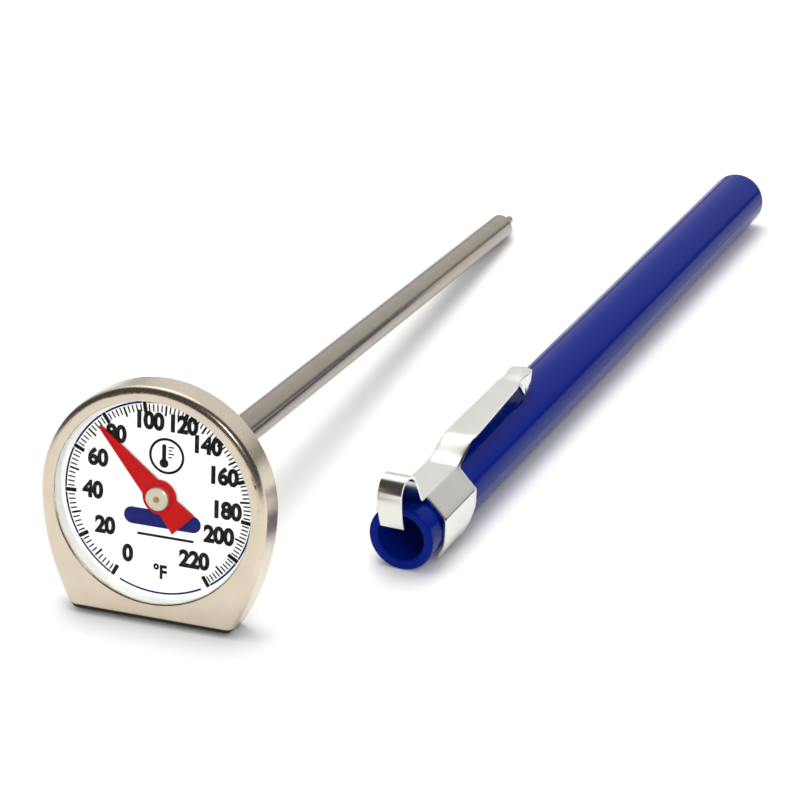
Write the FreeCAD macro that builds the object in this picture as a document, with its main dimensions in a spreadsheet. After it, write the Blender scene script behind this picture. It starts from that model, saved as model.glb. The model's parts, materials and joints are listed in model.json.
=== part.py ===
"""Pocket dial thermometer with its clip-on sheath, as separate bench pieces.

Everything is in millimetres. The thermometer is built in its own frame: the face plane is
z = 0, +Z looks out of the dial towards the reader, +Y is up the dial and the probe runs
down -Z. The sheath is built with its mouth at the origin and its axis along +Y. The last
step lays both on a table: the thermometer rests on the back edge of its flat foot and on
the tip of the probe, and the sheath lies beside it.
"""
import FreeCAD, Part
import math
import os
import Sketcher

DIMENSIONS = {
    # head
    "head_radius": 13.05,
    "flank_radius": 26.1,
    "foot_drop": 13.68,
    "foot_corner": 1.2,
    "case_depth": 4.1,
    "case_wall": 0.45,
    "window_radius": 11.4,
    "window_roll": 0.2,
    "front_edge": 0.8,
    "rear_edge": 0.3,
    "crimp_width": 1.0,
    "crimp_lap": 0.1,
    # stack behind the window, front to back
    "gasket_height": 0.2,
    "lens_radius": 12.45,
    "lens_height": 0.7,
    "lens_ease": 0.15,
    "spacer_height": 1.6,
    "spacer_inner": 11.8,
    "dial_radius": 12.5,
    "dial_height": 0.25,
    "dial_bore": 0.9,
    "seal_height": 0.3,
    "seal_inner": 11.3,
    "cover_height": 0.4,
    "cover_gap": 0.05,
    "pan_radius": 10.9,
    "pan_back_radius": 10.0,
    "pan_depth": 1.4,
    "pan_lap": 0.5,
    # hub and calibration nut
    "bushing_radius": 3.2,
    "bushing_bore": 2.45,
    "bushing_stand": 0.4,
    "flange_radius": 4.3,
    "flange_height": 0.4,
    "washer_radius": 3.9,
    "washer_height": 0.2,
    "washer_gap": 0.08,
    "stack_gap": 0.02,
    "retainer_radius": 3.4,
    "retainer_height": 0.3,
    "neck_radius": 2.4,
    "neck_stand": 0.3,
    "nut_across_flats": 8.0,
    "nut_height": 3.0,
    "nut_gap": 0.5,
    "nut_chamfer": 0.5,
    "oring_section": 0.22,
    "oring_radius": 2.85,
    # probe
    "probe_radius": 1.82,
    "probe_bore": 1.47,
    "probe_length": 130.5,
    "tube_neck_radius": 1.65,
    "tube_neck_length": 1.0,
    "tip_length": 5.0,
    "tip_plug": 3.0,
    "tip_knob_radius": 0.6,
    "tip_knob_length": 1.3,
    # movement
    "spindle_radius": 0.35,
    "guide_bore": 0.4,
    "guide_height": 2.0,
    "upper_guide_depth": 10.0,
    "middle_guide_depth": 45.0,
    "lower_guide_depth": 76.0,
    "coil_radius": 1.15,
    "coil_strip": 0.12,
    "coil_pitch": 3.0,
    "coil_strip_width": 2.4,
    "coil_turns": 12,
    "coil_start": 81.0,
    "coil_end_gap": 0.15,
    "driver_height": 1.2,
    "anchor_height": 1.5,
    "spindle_past_coil": 3.0,
    # pointer
    "pointer_front": 2.5,
    "pointer_height": 0.2,
    "pointer_reach": 10.0,
    "pointer_root": 1.25,
    "pointer_point": 0.16,
    "pointer_boss": 1.95,
    "tail_reach": 3.95,
    "tail_half_width": 1.75,
    "tail_root": 1.3,
    "hub_radius": 1.3,
    "hub_front": 1.75,
    "hub_ease": 0.12,
    "hub_lap": 0.2,
    "spindle_recess": 0.1,
    # dial scale
    "scale_start": -118.9,
    "scale_linear": 1.472,
    "scale_bend": -0.00054,
    "rest_reading": 74.0,
    # sheath
    "sheath_radius": 3.9,
    "sheath_length": 124.0,
    "sheath_bore": 2.25,
    "bore_depth": 122.0,
    "mouth_radius": 2.75,
    "mouth_depth": 5.0,
    "sheath_end_round": 1.6,
    "mouth_round": 0.3,
    "bore_taper": 1.5,
    # pocket clip: sheet, band, mouth hook, arm and foot
    "clip_sheet": 0.35,
    "band_start": 2.9,
    "band_length": 9.2,
    "band_flat": 4.27,
    "band_open_angle": 50,
    "hook_centre_back": -1.25,
    "hook_centre_up": 6.65,
    "hook_radius": 1.8,
    "hook_half_width": 1.42,
    "hook_drop": 4.1,
    "hook_front_bend": 8.6,
    "hook_lean": 31.4,
    "arm_rise_start": 11.4,
    "arm_rise_end": 16.5,
    "arm_rise": 1.83,
    "arm_end": 33.5,
    "arm_end_up": 0.65,
    "arm_root_half_width": 2.1,
    "arm_end_half_width": 1.62,
    "foot_start": 32.4,
    "foot_end": 37.0,
    "foot_top": 7.25,
    "foot_bottom": 4.0,
    "foot_half_width": 1.75,
    "foot_roof": 5.9,
    # layout on the table
    "layout_yaw": 4.57,
    "sheath_right": 19.37,
    "sheath_back": 22.22,
}


def make_sheet(doc):
    """The driving dimensions, one alias per row."""
    sheet = doc.addObject("Spreadsheet::Sheet", "dims")
    sheet.Label = "dims"
    for row, (alias, value) in enumerate(DIMENSIONS.items(), start=1):
        sheet.set("A%d" % row, alias)
        sheet.set("B%d" % row, str(value))
        sheet.setAlias("B%d" % row, alias)
    doc.recompute()
    return sheet


doc = FreeCAD.newDocument("pocket_thermometer")
dims = make_sheet(doc)


def size(alias):
    """A driving dimension as a number."""
    return float(dims.get(alias))


def value_of(expression):
    """The number that an expression on the sheet gives."""
    return float(dims.evalExpression(expression))


# --------------------------------------------------------------------------- sketch helpers


def plane_of(body, role):
    """One of a body's own origin planes or axes, by role."""
    return next(item for item in body.Origin.OriginFeatures if item.Role == role)


def new_body(name):
    """A PartDesign body whose label is the piece's name."""
    body = doc.addObject("PartDesign::Body", name + "_body")
    body.Label = name
    return body


def new_sketch(body, name, role="XY_Plane"):
    """A sketch on one of the body's own origin planes."""
    sketch = body.newObject("Sketcher::SketchObject", name)
    sketch.AttachmentSupport = [(plane_of(body, role), "")]
    sketch.MapMode = "FlatFace"
    return sketch


def bind_length(sketch, index, expression):
    """Ties a sketch constraint to an expression on the sheet."""
    sketch.setExpression("Constraints[%d]" % index, expression)


def add_circle(sketch, radius):
    """A circle round the sketch's origin with a bound radius."""
    start = FreeCAD.Vector(0, 0, 0)
    up = FreeCAD.Vector(0, 0, 1)
    edge = sketch.addGeometry(Part.Circle(start, up, value_of(radius)), False)
    sketch.addConstraint(Sketcher.Constraint("Coincident", edge, 3, -1, 1))
    index = sketch.addConstraint(Sketcher.Constraint("Radius", edge, value_of(radius)))
    bind_length(sketch, index, radius)


def arc_between(start, end, radius, side):
    """The minor arc from start to end whose centre lies to the left (side 1) or right."""
    chord = end - start
    half = chord.Length / 2
    rise = math.sqrt(max(radius * radius - half * half, 0))
    left = FreeCAD.Vector(-chord.y, chord.x, 0).normalize()
    centre = (start + end) * 0.5 + left * rise * side
    first = math.atan2(start.y - centre.y, start.x - centre.x)
    last = math.atan2(end.y - centre.y, end.x - centre.x)
    circle = Part.Circle(centre, FreeCAD.Vector(0, 0, 1), radius)
    if side > 0:
        return Part.ArcOfCircle(circle, first, last)
    return Part.ArcOfCircle(circle, last, first)


def add_outline(sketch, corners, arcs=None):
    """A closed outline through corners given as pairs of expressions.

    arcs maps the number of an edge to (radius expression, side); the other edges are straight.
    """
    arcs = arcs or {}
    points = [FreeCAD.Vector(value_of(x), value_of(y), 0) for x, y in corners]
    edges = []
    for number, start in enumerate(points):
        end = points[(number + 1) % len(points)]
        if number in arcs:
            radius, side = arcs[number]
            curve = arc_between(start, end, value_of(radius), side)
            ends = (1, 2) if side > 0 else (2, 1)
        else:
            curve = Part.LineSegment(start, end)
            ends = (1, 2)
        edges.append((sketch.addGeometry(curve, False), ends))
    for number, (edge, ends) in enumerate(edges):
        following, following_ends = edges[(number + 1) % len(edges)]
        sketch.addConstraint(Sketcher.Constraint("Coincident", edge, ends[1], following, following_ends[0]))
    for number, (edge, ends) in enumerate(edges):
        for kind, expression, amount in (
            ("DistanceX", corners[number][0], points[number].x),
            ("DistanceY", corners[number][1], points[number].y),
        ):
            index = sketch.addConstraint(Sketcher.Constraint(kind, -1, 1, edge, ends[0], amount))
            bind_length(sketch, index, expression)
        if number in arcs:
            radius = arcs[number][0]
            index = sketch.addConstraint(Sketcher.Constraint("Radius", edge, value_of(radius)))
            bind_length(sketch, index, radius)


def add_pad(body, sketch, name, length, midplane=False, reverse=False):
    """A pad of a sketch with a bound length."""
    pad = body.newObject("PartDesign::Pad", name)
    pad.Profile = sketch
    pad.setExpression("Length", length)
    pad.Midplane = midplane
    pad.Reversed = reverse
    return pad


def add_pocket(body, sketch, name, length, midplane=False, reverse=False):
    """A pocket of a sketch with a bound length, which has to remove something."""
    doc.recompute()
    before = body.Shape.Volume
    pocket = body.newObject("PartDesign::Pocket", name)
    pocket.Profile = sketch
    pocket.setExpression("Length", length)
    pocket.Midplane = midplane
    pocket.Reversed = reverse
    doc.recompute()
    if body.Shape.Volume >= before:
        raise RuntimeError(name + " cuts nothing")
    return pocket


def add_turning(body, name, corners, kind="PartDesign::Revolution", role="XZ_Plane", arcs=None):
    """A full turn of an outline about its sketch's vertical axis."""
    sketch = new_sketch(body, name + "_profile", role)
    add_outline(sketch, corners, arcs)
    turning = body.newObject(kind, name)
    turning.Profile = sketch
    turning.ReferenceAxis = (sketch, ["V_Axis"])
    turning.Angle = 360
    return turning


def turned_piece(name, corners, arcs=None):
    """A piece turned from one outline of (radius, height) pairs."""
    body = new_body(name)
    add_turning(body, name + "_turning", corners, arcs=arcs)
    return body


def ring_piece(name, outer, inner, bottom, height):
    """A flat ring: a cylinder with a cylinder taken out of it."""
    blank = doc.addObject("Part::Cylinder", name + "_blank")
    blank.setExpression("Radius", outer)
    blank.setExpression("Height", height)
    blank.setExpression(".Placement.Base.z", bottom)
    hole = doc.addObject("Part::Cylinder", name + "_hole")
    hole.setExpression("Radius", inner)
    hole.setExpression("Height", "(" + height + ") * 3")
    hole.setExpression(".Placement.Base.z", "(" + bottom + ") - (" + height + ")")
    ring = doc.addObject("Part::Cut", name + "_ring")
    ring.Base = blank
    ring.Tool = hole
    ring.Label = name
    return ring


# --------------------------------------------------------------------------- levels down the head

LENS_FRONT = "(dims.case_wall + dims.gasket_height)"
LENS_BACK = "(dims.case_wall + dims.gasket_height + dims.lens_height)"
DIAL_FRONT = "(dims.case_wall + dims.gasket_height + dims.lens_height + dims.spacer_height)"
DIAL_BACK = "(" + DIAL_FRONT + " + dims.dial_height)"
SEAL_BACK = "(" + DIAL_BACK + " + dims.seal_height)"
COVER_BACK = "(" + SEAL_BACK + " + dims.cover_height)"
PAN_INSIDE = "(" + SEAL_BACK + " + dims.pan_depth)"
PAN_BACK = "(" + PAN_INSIDE + " + dims.cover_height)"
BUSHING_BACK = "(" + PAN_BACK + " + dims.bushing_stand)"
FLANGE_FRONT = "(" + PAN_INSIDE + " - dims.flange_height)"
WASHER_FRONT = "(" + FLANGE_FRONT + " - dims.washer_height - dims.stack_gap)"
RETAINER_FRONT = "(" + WASHER_FRONT + " - dims.retainer_height - dims.stack_gap)"
NUT_FRONT = "(" + BUSHING_BACK + " + dims.nut_gap)"
NUT_BACK = "(" + NUT_FRONT + " + dims.nut_height)"
SHOULDER = "(dims.probe_length - dims.tip_length)"
COIL_END = "(dims.coil_start + dims.coil_turns * dims.coil_pitch + dims.coil_strip_width)"


def head_corners(inset):
    """The head's outline, drawn in by inset: round on top, two long flanks and a flat foot.

    Each flank is an arc struck from the far side of the head, and each foot corner is an arc
    that runs smoothly into the flank and the foot.
    """
    radius = "(dims.head_radius - %s)" % inset
    flank = "(dims.flank_radius - %s)" % inset
    drop = "(dims.foot_drop - %s)" % inset
    corner = "(dims.foot_corner - %s)" % inset
    shift = "(dims.flank_radius - dims.head_radius)"
    reach = "sqrt((%s - %s) ^ 2 - (%s - %s) ^ 2)" % (flank, corner, drop, corner)
    ratio = "(%s / (%s - %s))" % (flank, flank, corner)
    foot = "(%s - %s)" % (reach, shift)
    side = "(%s * %s - %s)" % (reach, ratio, shift)
    level = "-(%s - %s) * %s" % (drop, corner, ratio)
    return [
        (radius, "0"),
        ("0", radius),
        ("-" + radius, "0"),
        ("-" + side, level),
        ("-" + foot, "-" + drop),
        (foot, "-" + drop),
        (side, level),
    ]


def head_arcs(inset):
    """The curved edges of the head's outline: crown, flanks and foot corners."""
    crown = ("dims.head_radius - %s" % inset, 1)
    flank = ("dims.flank_radius - %s" % inset, 1)
    corner = ("dims.foot_corner - %s" % inset, 1)
    return {0: crown, 1: crown, 2: flank, 3: corner, 5: corner, 6: flank}


# --------------------------------------------------------------------------- head pieces


def front_case():
    """The drawn case: face with its window, side wall and the rim rolled in at the back."""
    body = new_body("front_case")
    shell = new_sketch(body, "case_outline")
    add_outline(shell, head_corners("0"), head_arcs("0"))
    add_pad(body, shell, "case_blank", "dims.case_depth", reverse=True)
    doc.recompute()
    add_edge_round(body, "case_front_round", 0.0, "dims.front_edge")
    add_edge_round(body, "case_rear_round", -size("case_depth"), "dims.rear_edge")
    window = new_sketch(body, "case_window")
    add_circle(window, "dims.window_radius")
    add_pocket(body, window, "case_window_cut", "dims.case_wall * 2")
    edge = "dims.window_radius"
    roll = [(edge, "0"), (edge + " + dims.window_roll", "0"), (edge, "-dims.window_roll")]
    add_turning(body, "case_window_roll", roll, "PartDesign::Groove", arcs={1: ("dims.window_roll", 1)})
    cavity = new_sketch(body, "case_cavity")
    cavity.setExpression(".AttachmentOffset.Base.z", "-dims.case_wall")
    add_outline(cavity, head_corners("dims.case_wall"), head_arcs("dims.case_wall"))
    add_pocket(body, cavity, "case_cavity_cut", COVER_BACK + " - dims.case_wall")
    opening = new_sketch(body, "case_rear_opening")
    opening.setExpression(".AttachmentOffset.Base.z", "-(" + COVER_BACK + " - dims.crimp_lap)")
    add_circle(opening, "dims.head_radius - dims.crimp_width")
    add_pocket(body, opening, "case_rear_cut", "dims.case_depth")
    return body


def add_edge_round(body, name, level, radius):
    """Rounds the outside edges that lie in one level of the head."""
    tip = body.Tip
    names = []
    for number, edge in enumerate(tip.Shape.Edges, start=1):
        heights = [vertex.Z for vertex in edge.Vertexes] + [edge.CenterOfMass.z]
        if all(abs(height - level) < 1e-6 for height in heights):
            names.append("Edge%d" % number)
    rounding = body.newObject("PartDesign::Fillet", name)
    rounding.Base = (tip, names)
    rounding.setExpression("Radius", radius)
    doc.recompute()
    return rounding


def lens_gasket():
    """The thin ring between the window's lip and the lens."""
    return ring_piece(
        "lens_gasket", "dims.lens_radius", "dims.window_radius + dims.lens_ease", "-" + LENS_FRONT, "dims.gasket_height"
    )


def lens():
    """The clear disc over the dial, its front rim eased."""
    body = new_body("lens")
    radius = "dims.lens_radius"
    corners = [
        ("0", "-" + LENS_BACK),
        (radius, "-" + LENS_BACK),
        (radius, "-" + LENS_FRONT + " - dims.lens_ease"),
        (radius + " - dims.lens_ease", "-" + LENS_FRONT),
        ("0", "-" + LENS_FRONT),
    ]
    add_turning(body, "lens_turning", corners)
    return body


def spacer_ring():
    """The ring that holds the lens off the dial."""
    return ring_piece("spacer_ring", "dims.dial_radius", "dims.spacer_inner", "-" + DIAL_FRONT, "dims.spacer_height")


def dial_plate():
    """The printed dial disc with the hole that the spindle comes through."""
    return ring_piece("dial_plate", "dims.dial_radius", "dims.dial_bore", "-" + DIAL_BACK, "dims.dial_height")


def rear_seal():
    """The flat seal squeezed between the dial and the back cover."""
    return ring_piece("rear_seal", "dims.dial_radius", "dims.seal_inner", "-" + SEAL_BACK, "dims.seal_height")


def rear_cover():
    """The back cover: a flat rim caught under the crimp and a shallow pan."""
    body = new_body("rear_cover")
    inset = "(dims.case_wall + dims.cover_gap)"
    rim = new_sketch(body, "cover_rim")
    rim.setExpression(".AttachmentOffset.Base.z", "-" + SEAL_BACK)
    add_outline(rim, head_corners(inset), head_arcs(inset))
    add_circle(rim, "dims.pan_radius - dims.pan_lap")
    add_pad(body, rim, "cover_rim_pad", "dims.cover_height", reverse=True)
    corners = [
        ("dims.pan_radius - dims.pan_lap", "-" + SEAL_BACK),
        ("dims.pan_radius", "-" + SEAL_BACK),
        ("dims.pan_radius", "-" + COVER_BACK),
        ("dims.pan_back_radius", "-" + PAN_BACK),
        ("dims.bushing_radius", "-" + PAN_BACK),
        ("dims.bushing_radius", "-" + PAN_INSIDE),
        ("dims.pan_back_radius - dims.pan_lap / 2", "-" + PAN_INSIDE),
    ]
    add_turning(body, "cover_pan", corners)
    return body


def hub_bushing():
    """The flanged bush in the back cover that the calibration nut's neck turns in."""
    corners = [
        ("dims.bushing_bore", "-" + BUSHING_BACK),
        ("dims.bushing_radius", "-" + BUSHING_BACK),
        ("dims.bushing_radius", "-" + PAN_INSIDE),
        ("dims.flange_radius", "-" + PAN_INSIDE),
        ("dims.flange_radius", "-" + FLANGE_FRONT),
        ("dims.bushing_bore", "-" + FLANGE_FRONT),
    ]
    return turned_piece("hub_bushing", corners)


def friction_washer():
    """The springy washer that makes the calibration nut stay where it is set."""
    return ring_piece(
        "friction_washer",
        "dims.washer_radius",
        "dims.neck_radius + dims.washer_gap",
        "-(" + WASHER_FRONT + " + dims.washer_height)",
        "dims.washer_height",
    )


# --------------------------------------------------------------------------- probe pieces


def retaining_clip():
    """The open ring on the neck that keeps the nut in the bush."""
    body = new_body("retaining_clip")
    ring = new_sketch(body, "retaining_ring")
    ring.setExpression(".AttachmentOffset.Base.z", "-" + RETAINER_FRONT)
    outer = "dims.retainer_radius"
    inner = "dims.neck_radius"
    add_circle(ring, outer)
    add_circle(ring, inner)
    add_pad(body, ring, "retaining_ring_pad", "dims.retainer_height", reverse=True)
    slot = new_sketch(body, "retaining_slot")
    slot.setExpression(".AttachmentOffset.Base.z", "-" + RETAINER_FRONT)
    half = "dims.neck_radius * 0.4"
    add_outline(slot, [("-" + half, "0"), (half, "0"), (half, outer + " * 2"), ("-" + half, outer + " * 2")])
    add_pocket(body, slot, "retaining_slot_cut", "dims.retainer_height * 2", midplane=True)
    return body


def calibration_nut():
    """The hexagon behind the head with the neck that carries the probe."""
    body = new_body("calibration_nut")
    hexagon = new_sketch(body, "nut_hexagon")
    hexagon.setExpression(".AttachmentOffset.Base.z", "-" + NUT_FRONT)
    corner = "(dims.nut_across_flats / sqrt(3))"
    points = []
    for step in range(6):
        angle = "%d deg" % (60 * step)
        points.append((corner + " * cos(" + angle + ")", corner + " * sin(" + angle + ")"))
    add_outline(hexagon, points)
    add_circle(hexagon, "dims.tube_neck_radius")
    add_pad(body, hexagon, "nut_pad", "dims.nut_height", reverse=True)
    neck_top = "-(" + RETAINER_FRONT + " - dims.neck_stand)"
    corners = [
        ("dims.tube_neck_radius", neck_top),
        ("dims.neck_radius", neck_top),
        ("dims.neck_radius", "-" + NUT_FRONT + " - dims.nut_chamfer"),
        ("dims.tube_neck_radius", "-" + NUT_FRONT + " - dims.nut_chamfer"),
    ]
    add_turning(body, "nut_neck", corners)
    chamfer = [
        (corner + " - dims.nut_chamfer", "-" + NUT_BACK),
        (corner + " + dims.nut_chamfer", "-" + NUT_BACK),
        (corner + " + dims.nut_chamfer", "-" + NUT_BACK + " + dims.nut_chamfer"),
    ]
    add_turning(body, "nut_chamfer", chamfer, kind="PartDesign::Groove")
    return body


def hub_oring():
    """The small ring that keeps water out of the hub."""
    centre = "-(" + NUT_FRONT + " - dims.nut_gap / 2)"
    section = "dims.oring_section"
    corners = [
        ("dims.oring_radius + " + section, centre),
        ("dims.oring_radius", centre + " + " + section),
        ("dims.oring_radius - " + section, centre),
        ("dims.oring_radius", centre + " - " + section),
    ]
    quarter = (section, 1)
    return turned_piece("hub_oring", corners, arcs={0: quarter, 1: quarter, 2: quarter, 3: quarter})


def probe_tube():
    """The thin steel tube of the probe, drawn down a little where it enters the nut."""
    front = "-" + RETAINER_FRONT
    neck_end = "-(" + NUT_BACK + " + dims.tube_neck_length)"
    corners = [
        ("dims.probe_bore", "-" + SHOULDER),
        ("dims.probe_radius", "-" + SHOULDER),
        ("dims.probe_radius", neck_end),
        ("dims.tube_neck_radius", neck_end),
        ("dims.tube_neck_radius", front),
        ("dims.probe_bore", front),
    ]
    return turned_piece("probe_tube", corners)


def probe_tip():
    """The welded plug: a short cone that ends in a small rounded knob."""
    knob = "dims.tip_knob_radius"
    length = "dims.probe_length"
    corners = [
        ("0", "-" + length),
        (knob, "-(" + length + " - " + knob + ")"),
        (knob, "-(" + length + " - " + knob + " - dims.tip_knob_length)"),
        ("dims.probe_radius", "-" + SHOULDER),
        ("dims.probe_bore", "-" + SHOULDER),
        ("dims.probe_bore", "-(" + SHOULDER + " - dims.tip_plug)"),
        ("0", "-(" + SHOULDER + " - dims.tip_plug)"),
    ]
    return turned_piece("probe_tip", corners, arcs={0: (knob, 1)})


# --------------------------------------------------------------------------- movement


def spindle():
    """The long wire that carries the coil's turn up to the pointer."""
    bottom = "-(" + COIL_END + " - dims.spindle_past_coil)"
    top = "-dims.hub_front + dims.spindle_recess"
    corners = [
        ("0", bottom),
        ("dims.spindle_radius", bottom),
        ("dims.spindle_radius", top),
        ("0", top),
    ]
    return turned_piece("spindle", corners)


def coil_driver():
    """The small collar on the spindle at the head end of the coil."""
    return ring_piece(
        "coil_driver",
        "dims.coil_radius",
        "dims.spindle_radius",
        "-(dims.coil_start - dims.coil_end_gap)",
        "dims.driver_height",
    )


def coil_anchor():
    """The cup in the probe that the tip end of the coil is fixed to."""
    return ring_piece(
        "coil_anchor",
        "dims.probe_bore",
        "dims.guide_bore",
        "-(" + COIL_END + " + dims.anchor_height)",
        "dims.anchor_height",
    )


def bimetal_coil():
    """The coiled bimetal strip: a flat strip wound round the spindle."""
    strip = size("coil_strip")
    width = size("coil_strip_width")
    radius = size("coil_radius") - strip
    pitch = size("coil_pitch")
    bottom = -value_of(COIL_END)
    path = Part.makeHelix(pitch, pitch * size("coil_turns"), radius)
    path.translate(FreeCAD.Vector(0, 0, bottom))
    corners = [(radius, 0), (radius + strip, 0), (radius + strip, width), (radius, width), (radius, 0)]
    section = Part.makePolygon([FreeCAD.Vector(x, 0, bottom + z) for x, z in corners])
    coil = doc.addObject("Part::Feature", "bimetal_coil_strip")
    coil.Label = "bimetal_coil"
    coil.Shape = Part.Wire(path.Edges).makePipeShell([section], True, True)
    return coil


def guide_bush(name):
    """A small bush in the probe that steadies the spindle."""
    return ring_piece(
        name,
        "dims.probe_bore",
        "dims.guide_bore",
        "-(dims." + name + "_depth + dims.guide_height)",
        "dims.guide_height",
    )


def pointer():
    """The red pointer: a long tapered needle, a round boss and a flared tail."""
    body = new_body("pointer")
    plate = new_sketch(body, "pointer_outline")
    plate.setExpression(".AttachmentOffset.Base.z", "-(dims.pointer_front + dims.pointer_height)")
    reach = "dims.pointer_reach"
    boss = "dims.pointer_boss"
    root = "dims.pointer_root"
    tail = "dims.tail_reach"
    needle_side = "sqrt(" + boss + " ^ 2 - " + root + " ^ 2)"
    tail_side = "sqrt(" + boss + " ^ 2 - dims.tail_root ^ 2)"
    corners = [
        ("dims.pointer_point", reach),
        ("-dims.pointer_point", reach),
        ("-" + root, needle_side),
        ("-dims.tail_root", "-" + tail_side),
        ("-dims.tail_half_width", "-" + tail),
        ("dims.tail_half_width", "-" + tail),
        ("dims.tail_root", "-" + tail_side),
        (root, needle_side),
    ]
    add_outline(plate, corners, arcs={2: (boss, 1), 6: (boss, 1)})
    add_circle(plate, "dims.spindle_radius * 2")
    add_pad(body, plate, "pointer_pad", "dims.pointer_height")
    return body


def pointer_hub():
    """The pale bush that joins the pointer to the spindle."""
    back = "-(dims.pointer_front + dims.pointer_height + dims.hub_lap)"
    front = "-dims.pointer_front"
    corners = [
        ("dims.spindle_radius", back),
        ("dims.spindle_radius * 2", back),
        ("dims.spindle_radius * 2", front),
        ("dims.hub_radius", front),
        ("dims.hub_radius", "-dims.hub_front - dims.hub_ease"),
        ("dims.hub_radius - dims.hub_ease", "-dims.hub_front"),
        ("dims.spindle_radius", "-dims.hub_front"),
    ]
    return turned_piece("pointer_hub", corners)


# --------------------------------------------------------------------------- sheath pieces


def sheath_tube():
    """The moulded sheath: a blind tube with an eased mouth and a rounded end."""
    body = new_body("sheath_tube")
    outer = "dims.sheath_radius"
    length = "dims.sheath_length"
    soft = "dims.sheath_end_round"
    ease = "dims.mouth_round"
    corners = [
        ("dims.mouth_radius + " + ease, "0"),
        (outer + " - " + ease, "0"),
        (outer, ease),
        (outer, length + " - " + soft),
        (outer + " - " + soft, length),
        ("0", length),
        ("0", "dims.bore_depth"),
        ("dims.sheath_bore", "dims.bore_depth - dims.bore_taper"),
        ("dims.sheath_bore", "dims.mouth_depth"),
        ("dims.mouth_radius", ease),
    ]
    arcs = {1: (ease, 1), 3: (soft, 1), 9: (ease, 1)}
    add_turning(body, "sheath_turning", corners, role="XY_Plane", arcs=arcs)
    return body


def octagon_point(flat, angle):
    """A point of an octagon with flats at the given distance, at one of its corners."""
    corner = "(" + flat + " / cos(22.5 deg))"
    return (corner + " * cos(%s deg)" % angle, corner + " * sin(%s deg)" % angle)


def band_end_point(flat, sign):
    """Where the open band ends, on its lower slanting flats."""
    reach = "(" + flat + " / cos(dims.band_open_angle * 1 deg - 45 deg))"
    return (
        sign + reach + " * cos(dims.band_open_angle * 1 deg)",
        "-" + reach + " * sin(dims.band_open_angle * 1 deg)",
    )


def clip_band(body):
    """The eight-sided band, open underneath so that the tube itself rests on the table."""
    sketch = new_sketch(body, "band_outline", "XZ_Plane")
    sketch.setExpression(".AttachmentOffset.Base.z", "-dims.band_start")
    inside = "(dims.band_flat - dims.clip_sheet)"
    angles = ["-22.5", "22.5", "67.5", "112.5", "157.5", "202.5"]
    outer = [octagon_point("dims.band_flat", angle) for angle in angles]
    inner = [octagon_point(inside, angle) for angle in reversed(angles)]
    corners = [band_end_point("dims.band_flat", "")] + outer + [band_end_point("dims.band_flat", "-")]
    corners += [band_end_point(inside, "-")] + inner + [band_end_point(inside, "")]
    add_outline(sketch, corners)
    add_pad(body, sketch, "band_pad", "dims.band_length", reverse=True)


def clip_strip(body):
    """The strip in side view: hook over the mouth, top of the band, rise and straight arm."""
    sketch = new_sketch(body, "clip_side_view", "YZ_Plane")
    back = "dims.hook_centre_back"
    up = "dims.hook_centre_up"
    half = "dims.clip_sheet / 2"
    outside = "(dims.hook_radius + " + half + ")"
    inside = "(dims.hook_radius - " + half + ")"
    lean = "dims.hook_lean * 1 deg"
    front_outside = "(dims.hook_front_bend + " + half + ")"
    front_inside = "(dims.hook_front_bend - " + half + ")"
    front_centre = "(" + back + " - dims.hook_radius + dims.hook_front_bend)"
    top = "dims.band_flat"
    under = "(dims.band_flat - dims.clip_sheet)"
    turn = "((dims.arm_rise_end - dims.arm_rise_start) ^ 2 + dims.arm_rise ^ 2) / (4 * dims.arm_rise)"
    middle = "((dims.arm_rise_start + dims.arm_rise_end) / 2)"
    ratio_under = "(1 + dims.clip_sheet / (" + turn + "))"
    arm_top = "(" + top + " + dims.arm_rise)"

    def free_end(bend):
        """The hook's free end, on the inside or the outside of its front bend."""
        across = "sqrt(" + bend + " ^ 2 - dims.hook_drop ^ 2)"
        return (front_centre + " - " + across, up + " - dims.hook_drop")

    def crest_end(radius):
        """Where the hook's crest runs into the slanting leg."""
        return (back + " + " + radius + " * cos(" + lean + ")", up + " + " + radius + " * sin(" + lean + ")")

    def leg_foot(radius, level):
        """Where the slanting leg meets a level of the band's top."""
        fall = "(" + up + " + " + radius + " * sin(" + lean + ") - " + level + ")"
        return (back + " + " + radius + " * cos(" + lean + ") + " + fall + " * tan(" + lean + ")", level)

    rise_under = (
        "dims.arm_rise_start + (" + middle + " - dims.arm_rise_start) * " + ratio_under,
        top + " + (" + turn + ") - ((" + turn + ") - dims.arm_rise / 2) * " + ratio_under,
    )
    corners = [
        free_end(front_inside),
        (back + " - " + inside, up),
        (back, up + " + " + inside),
        crest_end(inside),
        leg_foot(inside, under),
        ("dims.arm_rise_start", under),
        rise_under,
        ("dims.arm_rise_end", arm_top + " - dims.clip_sheet"),
        ("dims.arm_end", arm_top + " + dims.arm_end_up - dims.clip_sheet"),
        ("dims.arm_end", arm_top + " + dims.arm_end_up"),
        ("dims.arm_rise_end", arm_top),
        (middle, top + " + dims.arm_rise / 2"),
        ("dims.arm_rise_start", top),
        leg_foot(outside, top),
        crest_end(outside),
        (back, up + " + " + outside),
        (back + " - " + outside, up),
        free_end(front_outside),
    ]
    arcs = {
        0: (front_inside, -1),
        1: (inside, -1),
        2: (inside, -1),
        5: ("(" + turn + ") + dims.clip_sheet", 1),
        6: ("(" + turn + ") - dims.clip_sheet", -1),
        10: (turn, 1),
        11: (turn, -1),
        14: (outside, 1),
        15: (outside, 1),
        16: (front_outside, 1),
    }
    add_outline(sketch, corners, arcs)
    add_pad(body, sketch, "clip_strip_pad", "dims.arm_root_half_width * 3", midplane=True)


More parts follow.
